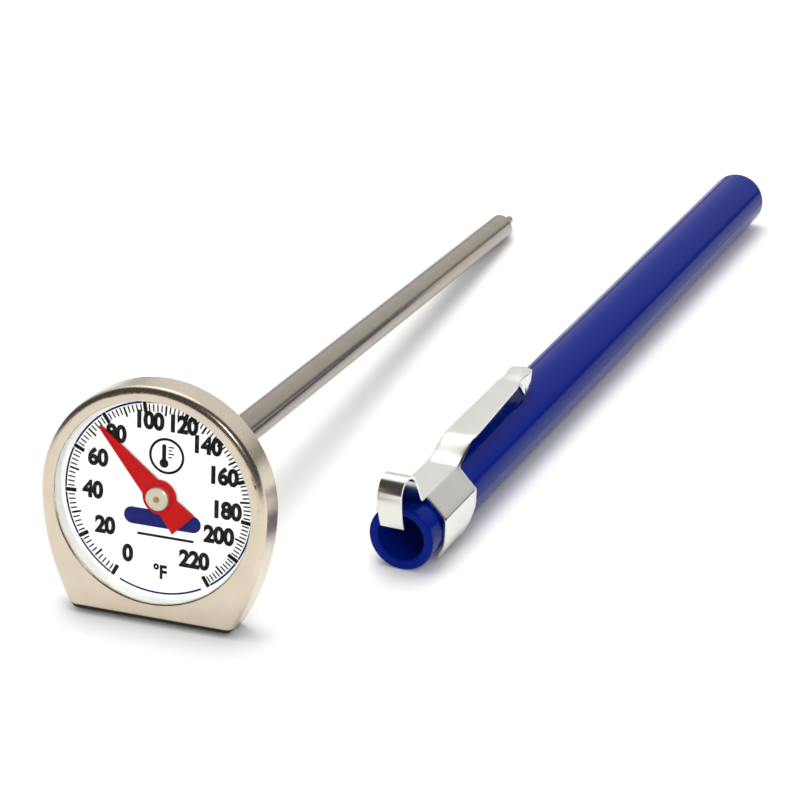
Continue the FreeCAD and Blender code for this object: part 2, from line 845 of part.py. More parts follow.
def clip_top_view(body):
    """Trims the strip to its outline seen from above: narrow hook, wide root, tapering arm."""
    sketch = new_sketch(body, "clip_trim")
    room = "dims.arm_root_half_width * 2"
    frame = [
        ("-" + room, "-dims.band_start * 3"),
        (room, "-dims.band_start * 3"),
        (room, "dims.arm_end + 5"),
        ("-" + room, "dims.arm_end + 5"),
    ]
    facet = "(dims.band_flat * tan(22.5 deg))"
    right = [
        ("dims.hook_half_width", "-dims.band_start * 2"),
        ("dims.hook_half_width", "0"),
        (facet, "dims.band_start"),
        (facet, "dims.band_start + dims.band_length - 1"),
        ("dims.arm_root_half_width", "dims.band_start + dims.band_length"),
        ("dims.arm_root_half_width", "dims.arm_rise_end"),
        ("dims.arm_end_half_width", "dims.arm_end + 2"),
    ]
    left = [("-" + x, y) for x, y in reversed(right)]
    add_outline(sketch, frame)
    add_outline(sketch, right + left)
    add_pocket(body, sketch, "clip_trim_cut", "dims.foot_top * 4", midplane=True)


def clip_foot(body):
    """The end of the arm, formed into a saddle whose two flaps come down to the tube."""
    sketch = new_sketch(body, "foot_side_view", "YZ_Plane")
    length = "(dims.foot_end - dims.foot_start)"
    corners = [
        ("dims.foot_start", "dims.foot_top - 1.1"),
        ("dims.foot_start + " + length + " * 0.42", "dims.foot_bottom"),
        ("dims.foot_start + " + length + " * 0.6", "dims.foot_bottom + 0.15"),
        ("dims.foot_end", "dims.foot_top - 1.25"),
        ("dims.foot_end - " + length + " * 0.45", "dims.foot_top"),
        ("dims.foot_start + " + length + " * 0.12", "dims.foot_top - 0.35"),
    ]
    arcs = {1: ("0.5", 1), 2: ("5", 1), 3: ("2.2", 1), 4: ("3.5", 1), 5: ("1", 1)}
    add_outline(sketch, corners, arcs)
    add_pad(body, sketch, "foot_pad", "dims.foot_half_width * 2", midplane=True)


def foot_hollow(body):
    """Opens the saddle from below, which leaves its roof and two flaps one sheet thick."""
    sketch = new_sketch(body, "foot_hollow_outline")
    sketch.setExpression(".AttachmentOffset.Base.z", "dims.foot_bottom - 1")
    inner = "(dims.foot_half_width - dims.clip_sheet)"
    corners = [
        ("-" + inner, "dims.foot_start - 1"),
        (inner, "dims.foot_start - 1"),
        (inner, "dims.foot_end + 1"),
        ("-" + inner, "dims.foot_end + 1"),
    ]
    add_outline(sketch, corners)
    add_pocket(body, sketch, "foot_hollow_cut", "dims.foot_roof - dims.foot_bottom + 1", reverse=True)


def pocket_clip():
    """The sprung sheet-metal clip: hook, band round the sheath, and arm with its foot."""
    body = new_body("pocket_clip")
    clip_strip(body)
    clip_top_view(body)
    clip_band(body)
    clip_foot(body)
    foot_hollow(body)
    return body


# --------------------------------------------------------------------------- assembly


def head_pieces():
    """Every piece of the thermometer, in the thermometer's own frame."""
    return [
        front_case(),
        lens_gasket(),
        lens(),
        spacer_ring(),
        dial_plate(),
        rear_seal(),
        rear_cover(),
        hub_bushing(),
        friction_washer(),
        retaining_clip(),
        calibration_nut(),
        hub_oring(),
        probe_tube(),
        probe_tip(),
        coil_anchor(),
        bimetal_coil(),
        coil_driver(),
        spindle(),
        guide_bush("upper_guide"),
        guide_bush("middle_guide"),
        guide_bush("lower_guide"),
        pointer(),
        pointer_hub(),
    ]


def sheath_pieces():
    """The sheath's two pieces, in the sheath's own frame."""
    return [sheath_tube(), pocket_clip()]


def resting_tilt():
    """How far the probe slopes down, resting on the foot's rounded back edge and the probe's tip."""
    ease = size("rear_edge")
    run = value_of(SHOULDER) - (size("case_depth") - ease)
    fall = size("foot_drop") - ease - size("probe_radius")
    return math.atan2(fall, run) + math.asin(ease / math.hypot(run, fall))


def pointer_turn():
    """The pointer's turn from straight up, in degrees, at the reading it rests at."""
    reading = size("rest_reading")
    swept = size("scale_linear") * reading + size("scale_bend") * reading * reading
    return size("scale_start") - swept - 90


def lay_out(head, sheath):
    """Stands the thermometer and the sheath on the table with the origin under their middle."""
    tilt = math.degrees(resting_tilt())
    lean = FreeCAD.Rotation(FreeCAD.Vector(1, 0, 0), 90 - tilt)
    yaw = FreeCAD.Rotation(FreeCAD.Vector(0, 0, 1), size("layout_yaw"))
    head_place = FreeCAD.Placement(FreeCAD.Vector(0, 0, 0), yaw.multiply(lean))
    sheath_place = FreeCAD.Placement(
        FreeCAD.Vector(size("sheath_right"), size("sheath_back"), 0), FreeCAD.Rotation()
    )
    for piece in head:
        piece.Placement = head_place
        if piece.Label == "pointer":
            swing = FreeCAD.Rotation(FreeCAD.Vector(0, 0, 1), pointer_turn())
            piece.Placement = head_place.multiply(FreeCAD.Placement(FreeCAD.Vector(), swing))
    for piece in sheath:
        piece.Placement = sheath_place
    doc.recompute()
    drop = {id(piece): lowest(head) for piece in head}
    drop.update({id(piece): lowest(sheath) for piece in sheath})
    for piece in head + sheath:
        move(piece, FreeCAD.Vector(0, 0, -drop[id(piece)]))
    doc.recompute()
    box = bounds(head + sheath)
    for piece in head + sheath:
        move(piece, FreeCAD.Vector(-box.Center.x, -box.Center.y, 0))
    doc.recompute()


def bounds(pieces):
    """The tight box round some pieces."""
    box = FreeCAD.BoundBox()
    for piece in pieces:
        box.add(piece.Shape.optimalBoundingBox(False, False))
    return box


def lowest(pieces):
    """The lowest level that some pieces reach."""
    return bounds(pieces).ZMin


def move(piece, step):
    """Moves a piece by a step."""
    piece.Placement = FreeCAD.Placement(piece.Placement.Base.add(step), piece.Placement.Rotation)


def check(pieces):
    """Stops if any object failed to rebuild or any piece isn't one sound solid."""
    for item in doc.Objects:
        if "Invalid" in item.State or "Error" in item.State:
            raise RuntimeError("%s did not rebuild: %s" % (item.Name, item.State))
    for piece in pieces:
        shape = piece.Shape
        if shape.isNull() or not shape.isValid() or len(shape.Solids) != 1:
            raise RuntimeError(piece.Label + " is not one sound solid")


def export(pieces):
    """Writes each piece to a file of its own name."""
    os.makedirs("parts", exist_ok=True)
    for piece in pieces:
        piece.Shape.exportStep("parts/" + piece.Label + ".step")
        print("%-18s %9.2f mm3" % (piece.Label, piece.Shape.Volume))


head = head_pieces()
sheath = sheath_pieces()
doc.recompute()
check(head + sheath)
lay_out(head, sheath)
check(head + sheath)
export(head + sheath)
print("box", bounds(head + sheath))
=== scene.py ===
"""Looks for the pocket dial thermometer and its sheath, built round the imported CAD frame.

Sizes are in millimetres and turned into metres where a mesh is made. Two local frames are
used. The dial frame has its origin at the middle of the face plane: x to the reader's right,
y up the dial, z out towards the reader. The sheath frame has its origin at the middle of the
sheath's mouth: x across, y along the sheath, z up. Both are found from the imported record.
"""

import json
import math

import bmesh
import bpy
from mathutils import Matrix, Vector


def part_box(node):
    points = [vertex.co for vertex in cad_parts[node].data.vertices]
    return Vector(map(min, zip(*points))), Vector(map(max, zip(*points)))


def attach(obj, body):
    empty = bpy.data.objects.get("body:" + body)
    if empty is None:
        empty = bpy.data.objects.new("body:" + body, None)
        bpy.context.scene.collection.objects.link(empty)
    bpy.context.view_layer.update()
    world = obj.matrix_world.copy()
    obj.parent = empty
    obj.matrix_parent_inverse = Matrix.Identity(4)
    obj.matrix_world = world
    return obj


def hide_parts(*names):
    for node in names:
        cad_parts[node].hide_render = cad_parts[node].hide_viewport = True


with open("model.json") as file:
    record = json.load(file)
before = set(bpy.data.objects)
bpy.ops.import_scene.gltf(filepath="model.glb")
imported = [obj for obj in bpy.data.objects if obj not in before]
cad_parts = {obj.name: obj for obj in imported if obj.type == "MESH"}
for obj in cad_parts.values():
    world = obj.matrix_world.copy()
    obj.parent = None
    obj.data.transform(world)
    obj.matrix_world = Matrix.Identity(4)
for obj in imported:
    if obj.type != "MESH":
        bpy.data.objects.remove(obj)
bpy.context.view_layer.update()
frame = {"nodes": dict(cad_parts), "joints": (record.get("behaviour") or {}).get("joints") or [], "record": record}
record = frame["record"]
nodes = frame["nodes"]

MM = 0.001


# --------------------------------------------------------------------------- local frames


def named(items, name):
    """The entry of a list in the record that has this name."""
    return next(item for item in items if item["name"] == name)


def reach(node, direction):
    """How far a CAD node reaches along a direction, in metres."""
    return max(vertex.co.dot(direction) for vertex in nodes[node].data.vertices)


def frame_matrix(x, y, z, origin):
    """The matrix of a frame with these unit axes and this origin."""
    matrix = Matrix((x, y, z)).transposed().to_4x4()
    matrix.translation = origin
    return matrix


def dial_frame():
    """The dial frame, from the pointer's axis, the flat foot and the front of the case."""
    pivot = named(frame["joints"], "pointer_swing")
    normal = Vector(pivot["axis"]).normalized()
    up = -Vector(named(record["mounts"], "flat_foot")["axis"])
    up = (up - normal * up.dot(normal)).normalized()
    centre = Vector(pivot["pos_m"])
    centre += normal * (reach("front_case", normal) - centre.dot(normal))
    return frame_matrix(up.cross(normal), up, normal, centre)


def sheath_frame():
    """The sheath frame, from the box of the sheath's tube."""
    low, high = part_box("sheath_tube")
    middle = (low + high) / 2
    origin = Vector((middle.x, low.y, middle.z))
    return frame_matrix(Vector((1, 0, 0)), Vector((0, 1, 0)), Vector((0, 0, 1)), origin)


DIAL = dial_frame()
SHEATH = sheath_frame()
DIAL_NORMAL = DIAL.col[2].to_3d()
DIAL_LEVEL = (reach("dial_plate", DIAL_NORMAL) - DIAL.translation.dot(DIAL_NORMAL)) / MM


# --------------------------------------------------------------------------- mesh helpers


def make_piece(name, points, faces, matrix, body, material, smooth=False):
    """A mesh object from points in millimetres in a local frame, riding on a body."""
    mesh = bpy.data.meshes.new(name)
    mesh.from_pydata([Vector(point) * MM for point in points], [], faces)
    mesh.validate()
    mesh.shade_smooth() if smooth else mesh.shade_flat()
    piece = bpy.data.objects.new(name, mesh)
    bpy.context.scene.collection.objects.link(piece)
    piece.matrix_world = matrix
    mesh.materials.append(material)
    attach(piece, body)
    return piece


class Flat:
    """Collects flat printed shapes, each a closed outline raised a little off the dial."""

    def __init__(self, level, height):
        self.level = level
        self.height = height
        self.points = []
        self.faces = []

    def prism(self, outline):
        """Adds a prism on an outline that runs counter-clockwise."""
        start = len(self.points)
        count = len(outline)
        for z in (self.level, self.level + self.height):
            self.points += [(x, y, z) for x, y in outline]
        top = [start + count + step for step in range(count)]
        bottom = [start + step for step in reversed(range(count))]
        self.faces += [top, bottom]
        for step in range(count):
            after = (step + 1) % count
            self.faces.append((start + step, start + after, start + count + after, start + count + step))

    def band(self, inner, outer):
        """Adds a strip between two runs of points that lie side by side."""
        for step in range(len(inner) - 1):
            self.prism([inner[step], outer[step], outer[step + 1], inner[step + 1]])


def polar(radius, degrees):
    """A point on the dial at a radius and an angle."""
    angle = math.radians(degrees)
    return radius * math.cos(angle), radius * math.sin(angle)


def bar(start, end, width):
    """The outline of a straight bar from start to end."""
    along = Vector(end) - Vector(start)
    side = Vector((-along.y, along.x)).normalized() * width / 2
    corners = [Vector(start) - side, Vector(end) - side, Vector(end) + side, Vector(start) + side]
    return [tuple(corner) for corner in corners]


def arc_points(centre, radius, first, last, count):
    """Points along an arc, from the first angle to the last."""
    points = []
    for step in range(count + 1):
        x, y = polar(radius, first + (last - first) * step / count)
        points.append((centre[0] + x, centre[1] + y))
    return points


# --------------------------------------------------------------------------- material helpers


def new_material(name):
    """An empty procedural material with its Principled shader."""
    material = bpy.data.materials.new(name)
    material.use_nodes = True
    tree = material.node_tree
    return material, tree, tree.nodes["Principled BSDF"]


def add_node(tree, kind, **settings):
    """A shader node with some of its inputs or properties set."""
    node = tree.nodes.new(kind)
    for key, value in settings.items():
        if key in node.inputs:
            node.inputs[key].default_value = value
        else:
            setattr(node, key, value)
    return node


def local_coordinates(tree, matrix, scale=(1, 1, 1)):
    """Object coordinates turned into a local frame, in metres, and stretched."""
    source = add_node(tree, "ShaderNodeTexCoord")
    place = add_node(tree, "ShaderNodeMapping", vector_type="TEXTURE")
    place.inputs["Location"].default_value = matrix.translation
    place.inputs["Rotation"].default_value = matrix.to_euler()
    stretch = add_node(tree, "ShaderNodeMapping")
    stretch.inputs["Scale"].default_value = scale
    tree.links.new(source.outputs["Object"], place.inputs["Vector"])
    tree.links.new(place.outputs["Vector"], stretch.inputs["Vector"])
    return stretch.outputs["Vector"]


def noise(tree, vector, scale, detail=3.0, roughness=0.55):
    """A noise texture's factor at a scale in cells per metre."""
    node = add_node(tree, "ShaderNodeTexNoise", Scale=scale, Detail=detail, Roughness=roughness)
    tree.links.new(vector, node.inputs["Vector"])
    return node.outputs["Fac"]


def spread(tree, factor, low, high):
    """Maps the middle of a noise factor's range onto low to high."""
    node = add_node(tree, "ShaderNodeMapRange")
    node.inputs["From Min"].default_value = 0.3
    node.inputs["From Max"].default_value = 0.7
    node.inputs["To Min"].default_value = low
    node.inputs["To Max"].default_value = high
    tree.links.new(factor, node.inputs["Value"])
    return node.outputs["Result"]


def blend_colours(tree, factor, first, second):
    """A colour that runs from the first to the second by a noise factor."""
    node = add_node(tree, "ShaderNodeMix", data_type="RGBA")
    node.inputs["A"].default_value = (*first, 1)
    node.inputs["B"].default_value = (*second, 1)
    tree.links.new(spread(tree, factor, 0, 1), node.inputs["Factor"])
    return node.outputs["Result"]


def shade(colour, factor):
    """A colour made lighter or darker."""
    return tuple(min(1.0, channel * factor) for channel in colour)


def add_bump(tree, shader, height, depth):
    """A bump of a real depth in metres from a height factor."""
    node = add_node(tree, "ShaderNodeBump", Strength=1.0, Distance=depth)
    tree.links.new(height, node.inputs["Height"])
    tree.links.new(node.outputs["Normal"], shader.inputs["Normal"])


def metal(name, colour, roughness, matrix, grain=(1, 1, 1), depth=0.0, pattern=900, vary=0.05):
    """Metal with a grain: colour and roughness vary along it and a fine bump follows it."""
    material, tree, shader = new_material(name)
    shader.inputs["Metallic"].default_value = 1.0
    fine = noise(tree, local_coordinates(tree, matrix, grain), pattern * 6, 4.0, 0.7)
    broad = noise(tree, local_coordinates(tree, matrix), pattern / 4, 2.0)
    tone = blend_colours(tree, broad, shade(colour, 1 - vary), shade(colour, 1 + vary))
    tree.links.new(tone, shader.inputs["Base Color"])
    tree.links.new(spread(tree, fine, roughness * 0.75, roughness * 1.3), shader.inputs["Roughness"])
    if depth:
        add_bump(tree, shader, fine, depth)
    return material


def solid(name, colour, roughness, matrix, pattern=700, depth=2e-6, vary=0.05, coat=0.0, specular=0.5):
    """Plastic, rubber or paint: slight mottling, uneven gloss and a faint texture."""
    material, tree, shader = new_material(name)
    shader.inputs["Coat Weight"].default_value = coat
    shader.inputs["Coat Roughness"].default_value = 0.08
    shader.inputs["Specular IOR Level"].default_value = specular
    place = local_coordinates(tree, matrix)
    broad = noise(tree, place, pattern / 5, 2.0)
    fine = noise(tree, place, pattern * 5, 4.0, 0.65)
    tone = blend_colours(tree, broad, shade(colour, 1 - vary), shade(colour, 1 + vary))
    tree.links.new(tone, shader.inputs["Base Color"])
    tree.links.new(spread(tree, fine, roughness * 0.8, roughness * 1.2), shader.inputs["Roughness"])
    add_bump(tree, shader, fine, depth)
    return material


# --------------------------------------------------------------------------- materials

STEEL = (0.655, 0.57, 0.455)
NICKEL = (0.74, 0.73, 0.69)
# Painted shade at the foot's lower edge: where it begins down the dial, how far it fades in, and its near-black
# colour, standing for the contact shadow under the foot.
FOOT_LINE = -13.06
FOOT_LINE_FADE = 0.2
FOOT_PAINTED_SHADE = (0.03, 0.026, 0.022)


def case_steel():
    """Satin stainless of the case: fine random grain, a little warm, with painted shade (standing for the contact
    shadow) at the foot's lower edge.
    """
    material = metal("case_steel", STEEL, 0.24, DIAL, depth=2.5e-6, pattern=1600, vary=0.04)
    tree = material.node_tree
    base = tree.nodes["Principled BSDF"].inputs["Base Color"]
    colour = base.links[0].from_socket
    # Painted shade: the colour runs to near black towards the foot's lower edge, standing for the contact shadow
    # under the foot.
    parts = add_node(tree, "ShaderNodeSeparateXYZ")
    tree.links.new(local_coordinates(tree, DIAL), parts.inputs["Vector"])
    painted_shade_ramp = add_node(tree, "ShaderNodeMapRange", interpolation_type="SMOOTHSTEP")
    painted_shade_ramp.inputs["From Min"].default_value = FOOT_LINE * MM
    painted_shade_ramp.inputs["From Max"].default_value = (FOOT_LINE + FOOT_LINE_FADE) * MM
    tree.links.new(parts.outputs["Y"], painted_shade_ramp.inputs["Value"])
    darken = add_node(tree, "ShaderNodeMix", data_type="RGBA")
    darken.inputs["A"].default_value = (*FOOT_PAINTED_SHADE, 1)
    tree.links.new(painted_shade_ramp.outputs["Result"], darken.inputs["Factor"])
    tree.links.new(colour, darken.inputs["B"])
    tree.links.new(darken.outputs["Result"], base)
    return material


def probe_steel():
    """Centreless-ground stainless: fine rings round the probe."""
    colour = shade(STEEL, 0.5)
    return metal("probe_steel", colour, 0.2, DIAL, grain=(0.6, 0.6, 4), depth=1.5e-6, pattern=1400)


def lens_clear():
    """Clear polycarbonate that lets lamps through to the dial."""
    material, tree, shader = new_material("lens_clear")
    shader.inputs["Transmission Weight"].default_value = 1.0
    shader.inputs["IOR"].default_value = 1.5
    shader.inputs["Specular Tint"].default_value = (0.03, 0.03, 0.03, 1)
    shader.inputs["Base Color"].default_value = (0.985, 0.99, 0.985, 1)
    place = local_coordinates(tree, DIAL)
    tree.links.new(spread(tree, noise(tree, place, 350, 2.0), 0.0, 0.02), shader.inputs["Roughness"])
    open_pane = add_node(tree, "ShaderNodeBsdfTransparent")
    open_pane.inputs["Color"].default_value = (0.96, 0.97, 0.96, 1)
    path = add_node(tree, "ShaderNodeLightPath")
    mix = add_node(tree, "ShaderNodeMixShader")
    tree.links.new(path.outputs["Is Shadow Ray"], mix.inputs["Fac"])
    tree.links.new(shader.outputs["BSDF"], mix.inputs[1])
    tree.links.new(open_pane.outputs["BSDF"], mix.inputs[2])
    tree.links.new(mix.outputs["Shader"], tree.nodes["Material Output"].inputs["Surface"])
    return material


SLOTS = {
    "case_steel": case_steel,
    "seal_white": lambda: solid("seal_white", (0.9, 0.9, 0.88), 0.5, DIAL),
    "lens_clear": lens_clear,
    "spacer_white": lambda: solid("spacer_white", (0.9, 0.9, 0.88), 0.45, DIAL),
    "dial_white": lambda: solid("dial_white", (0.94, 0.94, 0.91), 0.4, DIAL, depth=5e-7, vary=0.01),
    "seal_black": lambda: solid("seal_black", (0.02, 0.02, 0.022), 0.6, DIAL),
    "cover_steel": lambda: metal("cover_steel", STEEL, 0.26, DIAL, depth=2.5e-6, pattern=1500),
    "hub_steel": lambda: metal("hub_steel", shade(STEEL, 0.9), 0.25, DIAL, depth=2e-6),
    "spring_steel": lambda: metal("spring_steel", (0.42, 0.42, 0.42), 0.32, DIAL, depth=2e-6),
    "nut_steel": lambda: metal("nut_steel", STEEL, 0.24, DIAL, grain=(1, 1, 5), depth=2.5e-6),
    "probe_steel": probe_steel,
    "bimetal_strip": lambda: metal("bimetal_strip", (0.45, 0.38, 0.28), 0.3, DIAL, depth=2e-6),
    "spindle_brass": lambda: metal("spindle_brass", (0.36, 0.22, 0.08), 0.35, DIAL, depth=2e-6),
    "guide_white": lambda: solid("guide_white", (0.8, 0.8, 0.78), 0.4, DIAL),
    "pointer_red": lambda: solid(
        "pointer_red", (0.4, 0.001, 0.002), 0.4, DIAL, depth=1e-6, vary=0.04, specular=0.1
    ),
    "hub_nickel": lambda: metal("hub_nickel", (0.6, 0.55, 0.44), 0.42, DIAL, depth=2e-6, pattern=1500),
    "sheath_blue": lambda: solid(
        "sheath_blue", (0.0006, 0.0095, 0.165), 0.14, SHEATH,
        pattern=260, depth=1.2e-6, vary=0.03, specular=0.06,
    ),
    "clip_chrome": lambda: metal("clip_chrome", NICKEL, 0.17, SHEATH, depth=8e-7, pattern=1400, vary=0.02),
}


def dress_nodes():
    """Gives every CAD node the material of its slot in the record."""
    made = {slot: build() for slot, build in SLOTS.items()}
    for row in record["subparts"]:
        mesh = nodes[row["node"]].data
        mesh.materials.clear()
        mesh.materials.append(made[row["material_slot"]])
    return made


materials = dress_nodes()
print_black = solid("print_black", (0.006, 0.006, 0.007), 0.4, DIAL, depth=5e-7, specular=0.08)
print_navy = solid("print_navy", (0.005, 0.009, 0.11), 0.4, DIAL, depth=5e-7, specular=0.08)

# --------------------------------------------------------------------------- dial print

PRINT_LEVEL = DIAL_LEVEL - 0.004
PRINT_HEIGHT = 0.016
SCALE_START = -118.9
SCALE_LINEAR = 1.472
SCALE_BEND = -0.00054
SCALE_TOP = 220
BOLD_STEP = 20
LONG_STEP = 10
MARK_STEP = 2
BOLD_MARK = (9.65, 10.98, 0.46)
LONG_MARK = (9.5, 10.65, 0.24)
SHORT_MARK = (9.85, 10.65, 0.17)
LINE_INNER = 10.76
LINE_OUTER = 10.98
LINE_GAP = 1.6
FOOT_GAP = 5
PRINT_SHIFT = Matrix.Translation(Vector((-0.28, -0.33, 0)) * MM)


def scale_angle(reading):
    """The angle on the dial of a reading in degrees Fahrenheit."""
    return SCALE_START - (SCALE_LINEAR * reading + SCALE_BEND * reading * reading)


def dial_ticks():
    """A mark every 2 degrees, a longer one every 10 and a bold one every 20."""
    flat = Flat(PRINT_LEVEL, PRINT_HEIGHT)
    for reading in range(0, SCALE_TOP + 1, MARK_STEP):
        angle = scale_angle(reading)
        if reading % BOLD_STEP == 0:
            inner, outer, width = BOLD_MARK
        elif reading % LONG_STEP == 0:
            inner, outer, width = LONG_MARK
        else:
            inner, outer, width = SHORT_MARK
        flat.prism(bar(polar(inner, angle), polar(outer, angle), width))
    make_piece("dial_ticks", flat.points, flat.faces, DIAL @ PRINT_SHIFT, "head", print_black)


def dial_arc():
    """The thin line outside the marks, broken at each bold mark, and the one between its ends."""
    flat = Flat(PRINT_LEVEL, PRINT_HEIGHT)
    ends = []
    for reading in range(0, SCALE_TOP, BOLD_STEP):
        ends.append((scale_angle(reading) - LINE_GAP, scale_angle(reading + BOLD_STEP) + LINE_GAP))
    ends.append((scale_angle(0) + FOOT_GAP, scale_angle(SCALE_TOP) + 360 - FOOT_GAP))
    for first, last in ends:
        steps = max(4, round(abs(last - first) / 3))
        inner = arc_points((0, 0), LINE_INNER, first, last, steps)
        outer = arc_points((0, 0), LINE_OUTER, first, last, steps)
        flat.band(*((inner, outer) if last > first else (outer, inner)))
    make_piece("dial_scale_line", flat.points, flat.faces, DIAL @ PRINT_SHIFT, "head", print_navy)


FONT_SIZE_PER_HEIGHT = 1.37
LETTER_SPACING = 0.95


def lettering(text, height, boldness):
    """A mesh of some text in the built-in font, its capitals of this height, centred."""
    curve = bpy.data.curves.new("lettering", "FONT")
    curve.body = text
    curve.size = height * FONT_SIZE_PER_HEIGHT * MM
    curve.offset = boldness * MM
    curve.extrude = PRINT_HEIGHT / 2 * MM
    curve.space_character = LETTER_SPACING
    curve.resolution_u = 6
    curve.align_x = "CENTER"
    curve.align_y = "CENTER"
    holder = bpy.data.objects.new("lettering", curve)
    bpy.context.scene.collection.objects.link(holder)
    bpy.context.view_layer.update()
    mesh = bpy.data.meshes.new_from_object(holder.evaluated_get(bpy.context.evaluated_depsgraph_get()))
    bpy.data.objects.remove(holder)
    return mesh


def print_text(name, entries, material):
    """One piece of several texts, each an entry of (text, x, y, height, boldness, width factor)."""
    whole = bmesh.new()
    for text, x, y, height, boldness, width in entries:
        mesh = lettering(text, height, boldness)
        low = Vector([min(vertex.co[axis] for vertex in mesh.vertices) for axis in range(3)])
        high = Vector([max(vertex.co[axis] for vertex in mesh.vertices) for axis in range(3)])
        middle = (low + high) / 2
        target = Vector((x, y, PRINT_LEVEL + PRINT_HEIGHT / 2)) * MM
        squeeze = Matrix.Diagonal((width, 1, 1, 1))
        mesh.transform(Matrix.Translation(target) @ squeeze @ Matrix.Translation(-middle))
        whole.from_mesh(mesh)
        bpy.data.meshes.remove(mesh)
    mesh = bpy.data.meshes.new(name)
    whole.to_mesh(mesh)
    whole.free()
    piece = bpy.data.objects.new(name, mesh)
    bpy.context.scene.collection.objects.link(piece)
    piece.matrix_world = DIAL @ PRINT_SHIFT
    mesh.materials.append(material)
    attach(piece, "head")


NUMBER_HEIGHT = 1.9
NUMBER_BOLDNESS = 0.14
NUMBER_WIDTH = 0.92
NUMBERS = {
    0: (-3.5, -6.8),
    20: (-6.2, -4.0),
    40: (-7.7, -0.1),
    60: (-7.1, 3.7),
    80: (-5.0, 6.7),
    100: (-1.0, 8.75),
    120: (2.9, 8.8),
    140: (5.7, 6.9),
    160: (7.65, 3.75),
    180: (8.1, -0.1),
    200: (7.1, -3.05),
    220: (4.3, -6.35),
}


def dial_numbers():
    """The numbers of the scale, one every 20 degrees."""
    style = (NUMBER_HEIGHT, NUMBER_BOLDNESS, NUMBER_WIDTH)
    entries = [(str(reading), x, y, *style) for reading, (x, y) in NUMBERS.items()]
    print_text("dial_numbers", entries, print_black)


def dial_unit():
    """The unit of the scale."""
    print_text("dial_unit", [("°F", 0.35, -8.35, 1.6, 0.08, 0.9)], print_black)


def dial_ring_mark():
    """A plain ring with a small thermometer sign in it."""
    flat = Flat(PRINT_LEVEL, PRINT_HEIGHT)
    centre = (0.9, 5.0)
    ring = 2.05
    line = 0.3
    flat.band(arc_points(centre, ring - line, 0, 360, 48), arc_points(centre, ring, 0, 360, 48))
    bulb = (centre[0] - 0.3, centre[1] - 0.85)
    stem = 0.24
    lean = math.degrees(math.asin(stem / 0.52))
    outline = arc_points(bulb, 0.52, 90 + lean, 450 - lean, 24)
    outline += arc_points((bulb[0], centre[1] + 1.1), stem, 0, 180, 10)
    flat.prism(outline)
    for step in range(4):
        y = centre[1] - 0.1 + step * 0.38
        flat.prism(bar((bulb[0] + 0.5, y), (bulb[0] + (1.15 if step % 2 else 0.9), y), 0.16))
    make_piece("dial_ring_mark", flat.points, flat.faces, DIAL @ PRINT_SHIFT, "head", print_black)


def dial_bar_mark():
    """A plain navy band under the hub, with a thin black rule under it."""
    flat = Flat(PRINT_LEVEL, PRINT_HEIGHT)
    left, right, low, high = -4.0, 5.0, -3.3, -1.35
    end = (high - low) / 2
    middle = (high + low) / 2
    outline = arc_points((right - end, middle), end, -90, 90, 12)
    outline += arc_points((left + end, middle), end, 90, 270, 12)
    flat.prism(outline)
    rule = Flat(PRINT_LEVEL, PRINT_HEIGHT)
    rule.prism(bar((-2.4, -4.3), (4.2, -4.3), 0.3))
    make_piece("dial_rule", rule.points, rule.faces, DIAL @ PRINT_SHIFT, "head", print_black)
    make_piece("dial_bar_mark", flat.points, flat.faces, DIAL @ PRINT_SHIFT, "head", print_navy)


dial_ticks()
dial_arc()
dial_numbers()
dial_unit()
dial_ring_mark()
dial_bar_mark()

# --------------------------------------------------------------------------- pocket clip

SHEET = 0.35
BEND_ROWS = 10
CREST_ROWS = 26
HOOK_ROWS = BEND_ROWS + CREST_ROWS
FOLD = 0.16
BAND_FLAT = 4.27
BAND_HALF = 1.77
BAND_FRONT = 2.9
BAND_BACK = 12.1
BAND_FOLDS = ((0, FOLD), (3.54, 0.5), (7.4, 2.6))
BAND_COLUMNS = (
    0.08, 0.25, 0.5, 1.2, 2.0, 2.8, 3.29, 3.41, 3.54, 3.67,
    3.79, 4.4, 5.0, 5.6, 6.1, 6.5, 6.9, 7.3, 7.7, 8.1,
)
BAND_END = 8.47
LIP = 0.5
LIP_END = 17.0
FLAP_START = 31.5
FLAP_END = 35.95
FLAP_LENGTHS = ((FLAP_START, 0.05), (33.4, 2.3), (34.6, 2.55), (35.6, 1.75), (FLAP_END, 0.7))
ARM_SHIFT = 0.2
EDGE_ROUND = 0.05


def ease(value, low, high):
    """0 below low, 1 above high and a smooth S between them."""
    step = min(1.0, max(0.0, (value - low) / (high - low)))
    return step * step * (3 - 2 * step)


def along_table(value, table):
    """A value read off a table of (place, value) pairs, straight between them."""
    for (place, reading), (next_place, next_reading) in zip(table, table[1:]):
        if value <= next_place:
            share = max(0.0, (value - place) / (next_place - place))
            return reading + share * (next_reading - reading)
    return table[-1][1]


def hermite(start, end, start_slope, end_slope, count):
    """Points on a cubic from start to end with these slopes, the start left out."""
    run = end[0] - start[0]
    points = []
    for step in range(1, count + 1):
        t = step / count
        height = (2 * t**3 - 3 * t**2 + 1) * start[1] + (3 * t**2 - 2 * t**3) * end[1]
        height += run * ((t**3 - 2 * t**2 + t) * start_slope + (t**3 - t**2) * end_slope)
        points.append((start[0] + run * t, height))
    return points


